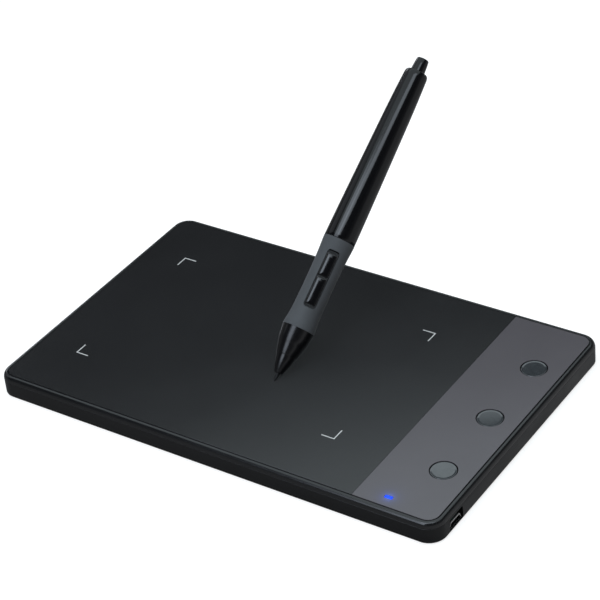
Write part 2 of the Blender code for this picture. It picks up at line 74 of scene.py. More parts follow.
HALF_X = CASE_HIGH.x
HALF_Y = CASE_HIGH.y
SEAM_Z = CASE_HIGH.z
RIM_Z = TOP_HIGH.z
SHEET_Z = SHEET_HIGH.z
GAP = 0.05 * MM
DECK_Z = SHEET_LOW.z - GAP
SHEET_INSET = HALF_Y - SHEET_HIGH.y
CORNER_RADIUS = 6.0 * MM
WALL = 1.6 * MM
SCREW_NODES = ("case_screw_1", "case_screw_2", "case_screw_3", "case_screw_4")
KEY_NODES = ("key_cap_1", "key_cap_2", "key_cap_3")
KEY_HOLE_RADIUS = 4.65 * MM
LIGHT_FLANGE = 0.5 * MM
DECK_CUT = (6.0 * MM, 9.0 * MM)     # heights between which a cutter goes through deck and sheet


def joint_axis(name):
    """Unit vector of a joint's axis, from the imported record."""
    return Vector(next(j["axis"] for j in frame["joints"] if j["name"] == name)).normalized()


def pen_matrix():
    """The pen's own frame, from its joints and the tip of its nib."""
    along = joint_axis("barrel_pull")
    out = -joint_axis("lower_button_press")
    across = along.cross(out).normalized()
    tip = min((v.co for v in frame["nodes"]["nib"].data.vertices), key=lambda p: p.dot(along))
    turn = Matrix((out, across, along)).transposed()
    return Matrix.Translation(tip) @ turn.to_4x4()


PEN = pen_matrix()


def pen_extent(node, axis):
    """Lowest and highest place of a node along one axis of the pen's own frame."""
    to_pen = PEN.inverted()
    places = [(to_pen @ v.co)[axis] for v in frame["nodes"][node].data.vertices]
    return min(places), max(places)


def pen_span(node):
    """Where a node of the pen starts and ends along the pen, measured from the tip."""
    return pen_extent(node, 2)


def middle_of(node):
    low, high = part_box(node)
    return (low + high) / 2


# ---------------------------------------------------------------------------- material nodes
def new_material(name, colour, roughness, **sockets):
    """A Principled material; sockets names more of the shader's own constants."""
    made = bpy.data.materials.new(name)
    made.use_nodes = True
    shader = made.node_tree.nodes["Principled BSDF"]
    shader.inputs["Base Color"].default_value = (*colour, 1.0)
    shader.inputs["Roughness"].default_value = roughness
    for socket, value in sockets.items():
        shader.inputs[socket.replace("_", " ")].default_value = value
    made.diffuse_color = (*colour, 1.0)
    return made


def shader_of(made):
    return made.node_tree.nodes["Principled BSDF"]


def place_vector(made, stretch=(1.0, 1.0, 1.0)):
    """Position on the piece, in metres, stretched for patterns that run one way."""
    nodes, links = made.node_tree.nodes, made.node_tree.links
    place = nodes.new("ShaderNodeTexCoord")
    mapping = nodes.new("ShaderNodeMapping")
    mapping.inputs["Scale"].default_value = stretch
    links.new(place.outputs["Object"], mapping.inputs["Vector"])
    return mapping.outputs["Vector"]


def noise(made, scale, detail=3.0, stretch=(1.0, 1.0, 1.0), roughness=0.5):
    """Noise by position on the piece; scale is in cycles per metre."""
    nodes, links = made.node_tree.nodes, made.node_tree.links
    texture = nodes.new("ShaderNodeTexNoise")
    texture.inputs["Scale"].default_value = scale
    texture.inputs["Detail"].default_value = detail
    texture.inputs["Roughness"].default_value = roughness
    links.new(place_vector(made, stretch), texture.inputs["Vector"])
    return texture.outputs["Fac"]


def spread(made, value, low, high, from_low=0.3, from_high=0.7):
    """The value's middle range laid out from low to high."""
    nodes, links = made.node_tree.nodes, made.node_tree.links
    mapped = nodes.new("ShaderNodeMapRange")
    mapped.inputs["From Min"].default_value = from_low
    mapped.inputs["From Max"].default_value = from_high
    mapped.inputs["To Min"].default_value = low
    mapped.inputs["To Max"].default_value = high
    links.new(value, mapped.inputs["Value"])
    return mapped.outputs["Result"]


def vary_roughness(made, scale, low, high, stretch=(1.0, 1.0, 1.0)):
    value = spread(made, noise(made, scale, stretch=stretch), low, high)
    made.node_tree.links.new(value, shader_of(made).inputs["Roughness"])


def mix_in(made, colour, factor, start=None):
    """Mix another colour into the material's own colour so far, or into start."""
    nodes, links = made.node_tree.nodes, made.node_tree.links
    base = shader_of(made).inputs["Base Color"]
    mix = nodes.new("ShaderNodeMix")
    mix.data_type = "RGBA"
    if start:
        mix.inputs["A"].default_value = (*start, 1.0)
    elif base.is_linked:
        links.new(base.links[0].from_socket, mix.inputs["A"])
    else:
        mix.inputs["A"].default_value = base.default_value
    mix.inputs["B"].default_value = (*colour, 1.0)
    links.new(factor, mix.inputs["Factor"])
    links.new(mix.outputs["Result"], base)


def vary_colour(made, scale, amount, stretch=(1.0, 1.0, 1.0)):
    """Lighter and darker patches around the material's colour."""
    colour = shader_of(made).inputs["Base Color"].default_value[:3]
    darker = [c * (1 - amount) for c in colour]
    lighter = [c * (1 + amount) for c in colour]
    value = spread(made, noise(made, scale, stretch=stretch), 0.0, 1.0)
    mix_in(made, lighter, value, darker)


def add_bump(made, value, strength, depth):
    """Fine relief, on top of any relief that is already there."""
    nodes, links = made.node_tree.nodes, made.node_tree.links
    normal = shader_of(made).inputs["Normal"]
    bump = nodes.new("ShaderNodeBump")
    bump.inputs["Strength"].default_value = strength
    bump.inputs["Distance"].default_value = depth
    links.new(value, bump.inputs["Height"])
    if normal.is_linked:
        links.new(normal.links[0].from_socket, bump.inputs["Normal"])
    links.new(bump.outputs["Normal"], normal)


def add_grain(made, size, strength, depth=0.02 * MM, detail=2.0):
    """Moulded or sprayed grain whose bumps are about size across."""
    add_bump(made, noise(made, 1.0 / size, detail), strength, depth)


def add_wear(made, scale, colour, amount):
    """A faint lighter film in scattered patches, as from handling."""
    mix_in(made, colour, spread(made, noise(made, scale, 6.0), 0.0, amount, 0.5, 0.8))


def add_tracks(made, pitch, colour):
    """Thin lines both ways, as the copper tracks show through a board's solder mask."""
    bands_per_scale = 20 / (2 * pi)     # the wave texture's bands per metre at scale 1
    for direction in ("X", "Y"):
        wave = made.node_tree.nodes.new("ShaderNodeTexWave")
        wave.bands_direction = direction
        wave.inputs["Scale"].default_value = 1 / (pitch * bands_per_scale)
        made.node_tree.links.new(place_vector(made), wave.inputs["Vector"])
        mix_in(made, colour, spread(made, wave.outputs["Fac"], 0.0, 0.8, 0.95, 0.99))


# -------------------------------------------------------------------------------- materials
def tablet_materials():
    """Finishes of the tablet's outer pieces, by name."""
    made = {}

    shell = new_material("upper_shell_black", (0.0045, 0.0047, 0.0052), 0.20, Specular_IOR_Level=0.45)
    vary_roughness(shell, 90, 0.18, 0.23)
    vary_colour(shell, 60, 0.08)
    add_grain(shell, 0.25 * MM, 0.10, 0.01 * MM)
    made["upper_shell"] = shell

    tray = new_material("lower_shell_black", (0.0036, 0.0038, 0.0042), 0.38, Specular_IOR_Level=0.35)
    vary_roughness(tray, 120, 0.34, 0.43)
    vary_colour(tray, 60, 0.10)
    add_grain(tray, 0.30 * MM, 0.18, 0.02 * MM)
    made["lower_shell"] = tray

    sheet = new_material("drawing_surface", (0.0100, 0.0099, 0.0104), 0.18)
    vary_roughness(sheet, 45, 0.17, 0.19)
    vary_colour(sheet, 30, 0.05)
    add_grain(sheet, 0.16 * MM, 0.10, 0.01 * MM)
    made["sheet"] = sheet

    strip = new_material("strip_grey", (0.0720, 0.0645, 0.0690), 0.18)
    vary_roughness(strip, 60, 0.17, 0.19)
    vary_colour(strip, 40, 0.04)
    add_grain(strip, 0.18 * MM, 0.10, 0.01 * MM)
    made["strip"] = strip

    key = new_material("key_satin", (0.0230, 0.0260, 0.0285), 0.10, Specular_IOR_Level=0.9)
    vary_roughness(key, 700, 0.08, 0.12)
    vary_colour(key, 500, 0.12)
    add_grain(key, 0.22 * MM, 0.10, 0.01 * MM)
    made["key"] = key

    ink = new_material("printed_ink", (0.47, 0.46, 0.44), 0.60)
    vary_colour(ink, 2500, 0.10)
    add_grain(ink, 0.12 * MM, 0.15, 0.01 * MM)
    made["ink"] = ink

    lamp = new_material("lit_blue", (0.01, 0.04, 0.30), 0.40, Emission_Strength=1.0,
                        Specular_IOR_Level=0.2)
    shader_of(lamp).inputs["Emission Color"].default_value = (0.005, 0.030, 0.75, 1.0)
    add_grain(lamp, 0.30 * MM, 0.10, 0.02 * MM)
    made["lamp"] = lamp

    rubber = new_material("foot_rubber", (0.0130, 0.0130, 0.0130), 0.80)
    vary_roughness(rubber, 400, 0.74, 0.88)
    add_grain(rubber, 0.20 * MM, 0.35, 0.03 * MM)
    add_wear(rubber, 500, (0.06, 0.06, 0.055), 0.5)
    made["rubber"] = rubber

    return made


def pen_materials():
    """Finishes of the pen's outer pieces, by name."""
    made = {}

    gloss = new_material("piano_black", (0.0025, 0.0025, 0.0030), 0.11, Specular_IOR_Level=0.30)
    vary_roughness(gloss, 220, 0.09, 0.13)
    add_grain(gloss, 2.0 * MM, 0.03, 0.02 * MM)
    made["gloss"] = gloss

    cone = new_material("cone_black", (0.0025, 0.0025, 0.0030), 0.22, Specular_IOR_Level=0.38)
    vary_roughness(cone, 220, 0.19, 0.24)
    add_grain(cone, 2.0 * MM, 0.03, 0.02 * MM)
    made["cone"] = cone

    rocker = new_material("rocker_gloss", (0.0025, 0.0025, 0.0030), 0.12, Specular_IOR_Level=0.3)
    vary_roughness(rocker, 400, 0.10, 0.15)
    add_grain(rocker, 1.0 * MM, 0.03, 0.02 * MM)
    made["rocker"] = rocker

    grip = new_material("soft_grip", (0.0520, 0.0550, 0.0580), 0.70, Specular_IOR_Level=0.35,
                        Sheen_Weight=0.12, Sheen_Roughness=0.30)
    vary_roughness(grip, 150, 0.64, 0.76)
    vary_colour(grip, 110, 0.05)
    add_grain(grip, 0.12 * MM, 0.22, 0.015 * MM)
    made["grip"] = grip

    nib = new_material("nib_plastic", (0.0045, 0.0045, 0.0050), 0.42, Specular_IOR_Level=0.25)
    vary_roughness(nib, 900, 0.36, 0.50)
    add_grain(nib, 0.15 * MM, 0.12, 0.01 * MM)
    add_wear(nib, 1500, (0.02, 0.02, 0.02), 0.4)
    made["nib"] = nib

    return made


def inner_materials():
    """Finishes of what sits inside, and a near-black painted shade for hollows and cut walls, by name.
    """
    made = {}

    moulded = new_material("moulded_black", (0.0140, 0.0140, 0.0150), 0.50)
    vary_roughness(moulded, 500, 0.44, 0.58)
    add_grain(moulded, 0.18 * MM, 0.25, 0.02 * MM)
    made["moulded"] = moulded

    white = new_material("moulded_white", (0.62, 0.61, 0.57), 0.45)
    vary_roughness(white, 600, 0.40, 0.52)
    vary_colour(white, 300, 0.04)
    add_grain(white, 0.20 * MM, 0.15, 0.02 * MM)
    made["white"] = white

    steel = new_material("plated_steel", (0.56, 0.56, 0.57), 0.30, Metallic=1.0)
    vary_roughness(steel, 1500, 0.22, 0.38, (1.0, 0.05, 1.0))
    vary_colour(steel, 300, 0.08)
    add_bump(steel, noise(steel, 3000, 2.0, (1.0, 0.04, 1.0)), 0.12, 0.01 * MM)
    made["steel"] = steel

    # painted shade: near-black and dull, for the plug notch's and grip window's cut walls, the
    # socket's inside and the pen's core, where shade falls
    painted_shade = new_material("painted_shade_black", (0.0020, 0.0020, 0.0022), 0.70, Specular_IOR_Level=0.1)
    vary_roughness(painted_shade, 300, 0.60, 0.80)
    made["painted_shade"] = painted_shade

    socket = new_material("socket_metal", (0.75, 0.75, 0.75), 0.32, Metallic=1.0)
    vary_roughness(socket, 1800, 0.26, 0.40)
    vary_colour(socket, 900, 0.15)
    made["socket"] = socket

    gold = new_material("gold_plating", (0.85, 0.60, 0.24), 0.25, Metallic=1.0)
    vary_roughness(gold, 2000, 0.20, 0.34)
    made["gold"] = gold

    copper = new_material("enamelled_copper", (0.58, 0.20, 0.075), 0.30, Metallic=1.0)
    vary_roughness(copper, 2500, 0.24, 0.40)
    vary_colour(copper, 1500, 0.15)
    made["copper"] = copper

    board = new_material("solder_mask", (0.012, 0.100, 0.045), 0.35)
    vary_roughness(board, 300, 0.30, 0.42)
    vary_colour(board, 150, 0.10)
    add_tracks(board, 4.0 * MM, (0.030, 0.200, 0.080))
    add_grain(board, 0.25 * MM, 0.20, 0.02 * MM)
    made["board"] = board

    dark_board = new_material("black_solder_mask", (0.006, 0.007, 0.008), 0.40)
    vary_roughness(dark_board, 300, 0.34, 0.46)
    vary_colour(dark_board, 150, 0.10)
    add_tracks(dark_board, 2.0 * MM, (0.014, 0.016, 0.018))
    add_grain(dark_board, 0.25 * MM, 0.20, 0.02 * MM)
    made["dark_board"] = dark_board

    cell = new_material("cell_sleeve", (0.050, 0.160, 0.350), 0.30)
    vary_roughness(cell, 200, 0.26, 0.36)
    vary_colour(cell, 120, 0.12)
    add_grain(cell, 0.50 * MM, 0.15, 0.02 * MM)
    add_wear(cell, 400, (0.30, 0.34, 0.40), 0.3)
    made["cell"] = cell

    return made


# ------------------------------------------------------------------------------- mesh making
def piece_from(form, name, finish, matrix=None, smooth_angle=35.0):
    """Turn a bmesh into a piece, shaded smooth except over sharp corners."""
    bmesh.ops.recalc_face_normals(form, faces=form.faces)
    mesh = bpy.data.meshes.new(name)
    form.to_mesh(mesh)
    form.free()
    if matrix:
        mesh.transform(matrix)
    if finish:
        mesh.materials.append(finish)
    made = bpy.data.objects.new(name, mesh)
    bpy.context.scene.collection.objects.link(made)
    shade(made, smooth_angle)
    return made


def shade(made, smooth_angle=35.0):
    """Smooth shading, with a sharp edge where two faces meet at more than the angle."""
    made.data.shade_smooth()
    made.data.set_sharp_from_angle(angle=radians(smooth_angle))


def combine(target, tool, operation="DIFFERENCE", smooth_angle=35.0):
    """Cut a piece with a tool or join the tool to it; the tool is used up."""
    step = target.modifiers.new("combine", "BOOLEAN")
    step.operation = operation
    step.solver = "EXACT"
    if tool.data.materials:
        step.material_mode = "TRANSFER"
    step.object = tool
    bpy.context.view_layer.update()
    graph = bpy.context.evaluated_depsgraph_get()
    result = bpy.data.meshes.new_from_object(target.evaluated_get(graph))
    target.modifiers.clear()
    target.data = result
    bpy.data.objects.remove(tool, do_unlink=True)
    shade(target, smooth_angle)
    return target


def soften(made, width, segments=2, angle=40.0):
    """Round the edges that are sharper than the angle."""
    bevel = made.modifiers.new("soft_edges", "BEVEL")
    bevel.limit_method = "ANGLE"
    bevel.angle_limit = radians(angle)
    bevel.width = width
    bevel.segments = segments
    bevel.harden_normals = False
    return made


def smooth_curve(points, steps=6):
    """A Catmull-Rom curve through 2D points."""
    ends = [tuple(2 * a - b for a, b in zip(points[0], points[1])),
            tuple(2 * a - b for a, b in zip(points[-1], points[-2]))]
    padded = [ends[0], *points, ends[1]]
    curve = []
    for p0, p1, p2, p3 in zip(padded, padded[1:], padded[2:], padded[3:]):
        for step in range(steps):
            t = step / steps
            curve.append(tuple(
                0.5 * (2 * b + (c - a) * t + (2 * a - 5 * b + 4 * c - d) * t ** 2
                       + (3 * b - a - 3 * c + d) * t ** 3)
                for a, b, c, d in zip(p0, p1, p2, p3)))
    return curve + [points[-1]]


def round_corners(points, radius, steps=4):
    """The line with an arc of about that radius at each of its inner corners."""
    line = [Vector(p) for p in points]
    result = [tuple(line[0])]
    for before, corner, after in zip(line, line[1:], line[2:]):
        towards_before = (before - corner)
        towards_after = (after - corner)
        reach = min(radius, towards_before.length * 0.45, towards_after.length * 0.45)
        start = corner + towards_before.normalized() * reach
        end = corner + towards_after.normalized() * reach
        for step in range(steps + 1):
            t = step / steps
            result.append(tuple((1 - t) ** 2 * start + 2 * t * (1 - t) * corner + t ** 2 * end))
    result.append(tuple(line[-1]))
    return result


def lathe(profile, sides=64, closed=False):
    """A turned bmesh: (radius, height) points swept round Z.

    An open profile starts and ends on the axis; a closed one is a ring's section.
    """
    form = bmesh.new()
    rings = []
    for radius, height in profile:
        if radius < 1e-7:
            rings.append([form.verts.new((0.0, 0.0, height))])
            continue
        rings.append([form.verts.new((radius * cos(2 * pi * i / sides),
                                      radius * sin(2 * pi * i / sides), height))
                      for i in range(sides)])
    pairs = list(zip(rings, rings[1:]))
    if closed:
        pairs.append((rings[-1], rings[0]))
    for lower, upper in pairs:
        for i in range(sides):
            j = (i + 1) % sides
            corners = []
            for vert in (lower[i % len(lower)], lower[j % len(lower)],
                         upper[j % len(upper)], upper[i % len(upper)]):
                if vert not in corners:
                    corners.append(vert)
            if len(corners) > 2:
                form.faces.new(corners)
    return form


def arc(start_angle, end_angle, steps):
    """Angles of an arc, in radians, both ends included."""
    return [start_angle + (end_angle - start_angle) * i / steps for i in range(steps + 1)]


def skin(form, loops):
    """Faces from each loop of corners to the next, and one over either end."""
    for first, second in zip(loops, loops[1:]):
        count = len(first)
        for i in range(count):
            j = (i + 1) % count
            form.faces.new((first[i], first[j], second[j], second[i]))
    form.faces.new(loops[0])
    form.faces.new(loops[-1])


def rounded_outline(half_x, half_y, radius, steps=12):
    """A rectangle with round corners, counter-clockwise."""
    points = []
    for quarter, (sx, sy) in enumerate([(1, 1), (-1, 1), (-1, -1), (1, -1)]):
        for step in range(steps + 1):
            angle = (quarter + step / steps) * pi / 2
            points.append((sx * (half_x - radius) + radius * cos(angle),
                           sy * (half_y - radius) + radius * sin(angle)))
    return points


def loft(rings, half_x, half_y, corner, least=0.2 * MM, steps=12):
    """A closed bmesh through rounded rectangles, each one (inset, height)."""
    form = bmesh.new()
    loops = []
    for inset, height in rings:
        outline = rounded_outline(half_x - inset, half_y - inset, max(corner - inset, least), steps)
        loops.append([form.verts.new((x, y, height)) for x, y in outline])
    skin(form, loops)
    return form


def box_form(low, high):
    """A plain block between two corners."""
    form = bmesh.new()
    bmesh.ops.create_cube(form, size=1.0)
    bmesh.ops.scale(form, vec=[b - a for a, b in zip(low, high)], verts=form.verts)
    bmesh.ops.translate(form, vec=[(a + b) / 2 for a, b in zip(low, high)], verts=form.verts)
    return form


def cylinder_form(place, radius, low, high, sides=48):
    """An upright cylinder round a place, from one height to another."""
    form = bmesh.new()
    bmesh.ops.create_cone(form, cap_ends=True, segments=sides, radius1=radius, radius2=radius,
                          depth=high - low)
    bmesh.ops.translate(form, vec=(place[0], place[1], (low + high) / 2), verts=form.verts)
    return form


def tool(form, matrix=None, finish=None):
    """A bmesh made into a throw-away tool for combine(); its finish goes onto the cut faces."""
    return piece_from(form, "tool", finish, matrix)


def settle(piece, body, slot, *nodes):
    """Say what a finished piece rides on and the CAD nodes it stands for; the slot is not used."""
    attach(piece, body)
    if nodes:
        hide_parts(*nodes)
    return piece


# ---------------------------------------------------------------------------------- tablet
def make_upper_shell(finish):
    """Upper shell: rounded shoulder, crowned rim, recess for the sheets and its holes."""
    shoulder = 1.5 * MM
    rim_inner = 1.85 * MM
    seam_chamfer = 0.05 * MM
    low = SEAM_Z + GAP
    rise = [(shoulder * (1 - cos(a)), low + seam_chamfer + (RIM_Z - low - seam_chamfer) * sin(a))
            for a in arc(0.0, pi / 2, 14)]
    lip = WALL + GAP
    lip_inner = lip + 1.0 * MM
    lip_z = 5.5 * MM
    deck_underside = 6.55 * MM
    form = loft([
        (lip_inner, deck_underside),
        (lip_inner, lip_z),
        (lip, lip_z),
        (lip, low),
        (seam_chamfer, low),
        *rise,
        (rim_inner - 0.10 * MM, RIM_Z - 0.005 * MM),
        (rim_inner - 0.02 * MM, RIM_Z - 0.05 * MM),
        (rim_inner, RIM_Z - 0.13 * MM),
        (rim_inner, DECK_Z),
    ], HALF_X, HALF_Y, CORNER_RADIUS)
    shell = piece_from(form, "upper_shell", finish)
    boss_radius = 2.6 * MM
    pilot_radius, pilot_top = 1.0 * MM, 7.3 * MM
    for node in SCREW_NODES:
        place = middle_of(node)
        boss = cylinder_form(place, boss_radius, TOP_LOW.z, deck_underside + 0.4 * MM)
        combine(shell, tool(boss), "UNION")
        combine(shell, tool(cylinder_form(place, pilot_radius, TOP_LOW.z - 1 * MM, pilot_top, 24)))
    for node in KEY_NODES:
        combine(shell, tool(cylinder_form(middle_of(node), KEY_HOLE_RADIUS, *DECK_CUT)))
    combine(shell, tool(light_slot()))
    return settle(shell, "tablet", "case_black", "top_case")


def light_slot():
    """Cutter for the status light's slot, a little larger than the light."""
    low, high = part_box("light_guide")
    margin = LIGHT_FLANGE - 0.1 * MM
    corner = 0.35 * MM
    half_x = (high.x - low.x) / 2 - margin
    half_y = (high.y - low.y) / 2 - margin
    form = loft([(0.0, height) for height in DECK_CUT], half_x, half_y, corner, steps=6)
    place = (low + high) / 2
    bmesh.ops.translate(form, vec=(place.x, place.y, 0.0), verts=form.verts)
    return form


def make_lower_shell(finish, painted_shade_finish):
    """Lower shell: tray with a rounded bottom edge, bosses, foot seats and the plug's notch, whose cut
    walls carry painted shade.
    """
    edge = 0.25 * MM
    chamfer = 0.05 * MM
    floor_top = CASE_LOW.z + 1.4 * MM
    bottom = [(edge * (1 - sin(a)), CASE_LOW.z + edge * (1 - cos(a))) for a in arc(0.0, pi / 2, 6)]
    form = loft([
        *bottom,
        (0.0, SEAM_Z - chamfer),
        (chamfer, SEAM_Z),
        (WALL, SEAM_Z),
        (WALL, floor_top + 0.3 * MM),
        (WALL + 0.3 * MM, floor_top),
    ], HALF_X, HALF_Y, CORNER_RADIUS)
    shell = piece_from(form, "lower_shell", finish)
    boss_low, boss_top = floor_top - 0.6 * MM, 3.6 * MM
    boss = (3.6 * MM, boss_low, boss_top, "UNION")
    shank_hole = (1.1 * MM, 0.0, 5 * MM, "DIFFERENCE")
    head_hole = (2.2 * MM, 0.0, 2.6 * MM, "DIFFERENCE")
    foot_seat = (5.2 * MM, 0.0, CASE_LOW.z + 0.3 * MM, "DIFFERENCE")
    for node in SCREW_NODES:
        for radius, low, high, operation in (boss, shank_hole, head_hole, foot_seat):
            combine(shell, tool(cylinder_form(middle_of(node), radius, low, high)), operation)
    post_x, post_y, post_radius = 25.0 * MM, 46.0 * MM, 2.4 * MM
    for x in (-post_x, post_x):
        post = cylinder_form((x, post_y), post_radius, boss_low, boss_top)
        combine(shell, tool(post), "UNION")
    # the notch's cut walls take the near-black painted shade, as shade falls in the recess
    combine(shell, tool(plug_notch(), None, painted_shade_finish))
    return settle(shell, "tablet", "case_black", "bottom_case")


def plug_notch():
    """Cutter for the plug's opening in the side wall, with round upper corners."""
    low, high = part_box("usb_shell")
    centre_y = (low.y + high.y) / 2
    notch_low, notch_high = 0.85 * MM, 5.35 * MM
    half_y = 4.0 * MM
    corner = 0.8 * MM
    upper = [(sy * (half_y - corner) + sy * corner * sin(a), notch_high - corner + corner * cos(a))
             for sy, angles in ((-1, arc(pi / 2, 0.0, 6)), (1, arc(0.0, pi / 2, 6))) for a in angles]
    outline = [(-half_y, notch_low), *upper, (half_y, notch_low)]
    form = bmesh.new()
    back, front = low.x - 0.5 * MM, HALF_X + 1 * MM
    skin(form, [[form.verts.new((x, centre_y + y, z)) for y, z in outline] for x in (back, front)])
    return form


def make_sheets(sheet_finish, strip_finish):
    """Drawing sheet and key strip, with softened edges, side by side in the recess."""
    edge = 0.06 * MM
    far = 1.0
    for name, finish, node, slot in (("drawing_surface", sheet_finish, "drawing_sheet", "sheet_dark"),
                                     ("key_panel", strip_finish, "key_strip", "strip_grey")):
        form = loft([(SHEET_INSET, SHEET_LOW.z), (SHEET_INSET, SHEET_Z)], HALF_X, HALF_Y,
                    CORNER_RADIUS)
        piece = piece_from(form, name, finish)
        low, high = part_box(node)
        keep_low = -far if name == "drawing_surface" else low.x
        keep_high = high.x if name == "drawing_surface" else far
        keep = box_form((keep_low, -far, 0.0), (keep_high, far, far))
        combine(piece, tool(keep), "INTERSECT")
        if name == "key_panel":
            for key in KEY_NODES:
                combine(piece, tool(cylinder_form(middle_of(key), KEY_HOLE_RADIUS, *DECK_CUT, 64)))
            combine(piece, tool(light_slot()))
        soften(piece, edge, 2, 50.0)
        settle(piece, "tablet", slot, node)


def make_corner_marks(finish):
    """Four printed corners of the active drawing area, on top of the sheet."""
    centre = Vector((-16.87 * MM, 0.0))
    half = Vector((52.7 * MM, 32.3 * MM))
    arm = 5.0 * MM
    stroke = 0.41 * MM
    thickness = 0.015 * MM
    corner = [(0, 0), (arm, 0), (arm, stroke), (stroke, stroke), (stroke, arm), (0, arm)]
    form = bmesh.new()
    for sx in (-1, 1):
        for sy in (-1, 1):
            outline = [(centre.x + sx * (half.x - x), centre.y + sy * (half.y - y)) for x, y in corner]
            skin(form, [[form.verts.new((x, y, z)) for x, y in outline]
                        for z in (SHEET_Z, SHEET_Z + thickness)])
    marks = piece_from(form, "corner_marks", finish)
    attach(marks, "tablet")


def make_key(number, finish):
    """Round key: shallow dish with a rounded edge, and a hollow flange under the deck."""
    node = f"key_cap_{number}"
    low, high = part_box(node)
    place = (low + high) / 2
    flange = (high.x - low.x) / 2
    cap = KEY_HOLE_RADIUS - 0.33 * MM
    top = high.z
    edge = 0.18 * MM
    lip = cap - edge
    dish = top - 0.06 * MM
    flange_thickness, flange_edge = 0.45 * MM, 0.1 * MM
    hollow, hollow_depth = 3.6 * MM, 0.35 * MM
    rim = [(lip + edge * sin(a), top - edge + edge * cos(a)) for a in arc(0.0, pi / 2, 6)]
    profile = [
        (0.0, dish),
        (lip - 0.60 * MM, dish),
        (lip - 0.34 * MM, dish + 0.003 * MM),
        (lip - 0.10 * MM, top - 0.006 * MM),
        *rim,
        (cap, low.z + flange_thickness),
        (flange - flange_edge, low.z + flange_thickness),
        (flange, low.z + flange_thickness - flange_edge),
        (flange, low.z),
        (hollow, low.z),
        (hollow, low.z + hollow_depth),
        (0.0, low.z + hollow_depth),
    ]
    key = piece_from(lathe(profile, 72), f"key_button_{number}", finish,
                     Matrix.Translation((place.x, place.y, 0.0)))
    settle(key, f"key_{number}", "key_grey", node)


def make_status_light(finish):
    """Bar over the status lamp: chamfered top, flange under the deck."""
    low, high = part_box("light_guide")
    place = (low + high) / 2
    half_x, half_y = (high.x - low.x) / 2, (high.y - low.y) / 2
    shelf = 6.45 * MM
    top_chamfer = 0.08 * MM
    corner = 0.8 * MM
    form = loft([
        (0.0, low.z),
        (0.0, shelf),
        (LIGHT_FLANGE, shelf + 0.02 * MM),
        (LIGHT_FLANGE, high.z - top_chamfer),
        (LIGHT_FLANGE + top_chamfer, high.z),
    ], half_x, half_y, corner, steps=6)
    light = piece_from(form, "status_light", finish, Matrix.Translation((place.x, place.y, 0.0)))
    settle(light, "tablet", "light_blue", "light_guide")


def make_usb_socket(metal, painted_shade_inside):
    """Folded metal socket: a rounded trapezium of thin metal, its inside faces painted near-black as
    shade.
    """
    low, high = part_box("usb_shell")
    centre = (low + high) / 2
    half_y, half_z = (high.y - low.y) / 2, (high.z - low.z) / 2
    side, roof = 0.13 * MM, 0.45 * MM
    narrow = 0.78
    corner = 0.5 * MM

    def outline(side_inset, roof_inset):
        """Section of the socket, a rounded trapezium, that much smaller than its outside."""
        base_y, base_z = half_y - side_inset, side_inset - half_z
        roof_y, roof_z = half_y * narrow - side_inset, half_z - roof_inset
        flat = [(-base_y, base_z), (base_y, base_z), (roof_y, roof_z), (-roof_y, roof_z)]
        return round_corners([flat[-1], *flat, flat[0]], corner, 4)[1:-1]

    stations = [
        (low.x, 0.0, 0.0), (high.x - 0.25 * MM, 0.0, 0.0), (high.x, 0.0, 0.0),
        (high.x - 0.02 * MM, side, roof), (low.x + side, side, roof),
    ]
    form = bmesh.new()
    loops = [[form.verts.new((x, centre.y + y, centre.z + z)) for y, z in outline(*insets)]
             for x, *insets in stations]
    skin(form, loops)
    # the inside faces get the second material, a near-black painted shade
    inside = {*loops[-2], *loops[-1]}
    for face in form.faces:
        face.material_index = int(inside.issuperset(face.verts))
    socket = piece_from(form, "usb_socket", metal)
    socket.data.materials.append(painted_shade_inside)
    settle(socket, "tablet", "steel", "usb_shell")


def make_usb_tongue(black, gold):
    """The socket's plastic tongue on its block, and the contacts under the tongue."""
    shell_low, shell_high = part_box("usb_shell")
    centre = (shell_low + shell_high) / 2
    low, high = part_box("usb_core")
    half_width, half_thickness = 2.0 * MM, 0.3 * MM
    block_end = low.x + 1.3 * MM
    side = 0.35 * MM
    form = box_form((low.x, low.y + side, low.z), (block_end, high.y - side, high.z))
    block = piece_from(form, "usb_tongue", black)
    overlap = 0.3 * MM
    tongue = box_form((block_end - overlap, centre.y - half_width, centre.z - half_thickness),
                      (high.x, centre.y + half_width, centre.z + half_thickness))
    combine(block, tool(tongue), "UNION")
    soften(block, 0.08 * MM, 2)
    settle(block, "tablet", "chip_black", "usb_core")

    count, pitch, half_contact, thickness = 5, 0.65 * MM, 0.15 * MM, 0.06 * MM
    contact_top = centre.z - half_thickness
    contacts = bmesh.new()
    for index in range(count):
        y = centre.y + (index - count // 2) * pitch
        part = box_form((block_end, y - half_contact, contact_top - thickness),
                        (high.x - 0.5 * MM, y + half_contact, contact_top))
        mesh = bpy.data.meshes.new("contact")
        part.to_mesh(mesh)
        part.free()
        contacts.from_mesh(mesh)
        bpy.data.meshes.remove(mesh)
    strips = piece_from(contacts, "usb_contacts", gold)
    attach(strips, "tablet")


def make_foot(number, finish):
    """Stuck-on rubber foot with a rounded edge and a shallow ring on its sole."""
    low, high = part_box(f"rubber_foot_{number}")
    place = (low + high) / 2
    radius = (high.x - low.x) / 2
    edge = 0.25 * MM
    groove_depth, groove_slope = 0.12 * MM, 0.2 * MM
    groove_outside, groove_inside = radius - 1.2 * MM, radius - 2.1 * MM
    profile = round_corners([
        (0.0, high.z),
        (radius, high.z),
        (radius, low.z),
        (groove_outside, low.z),
        (groove_outside - groove_slope, low.z + groove_depth),
        (groove_inside + groove_slope, low.z + groove_depth),
        (groove_inside, low.z),
        (0.0, low.z),
    ], edge, 4)
    foot = piece_from(lathe(profile, 64), f"foot_pad_{number}", finish,
                      Matrix.Translation((place.x, place.y, 0.0)))
    settle(foot, "tablet", "rubber_black", f"rubber_foot_{number}")


# ------------------------------------------------------------------------------------- pen
def in_mm(points):
    """Points given in millimetres, in metres."""
    return [(a * MM, b * MM) for a, b in points]


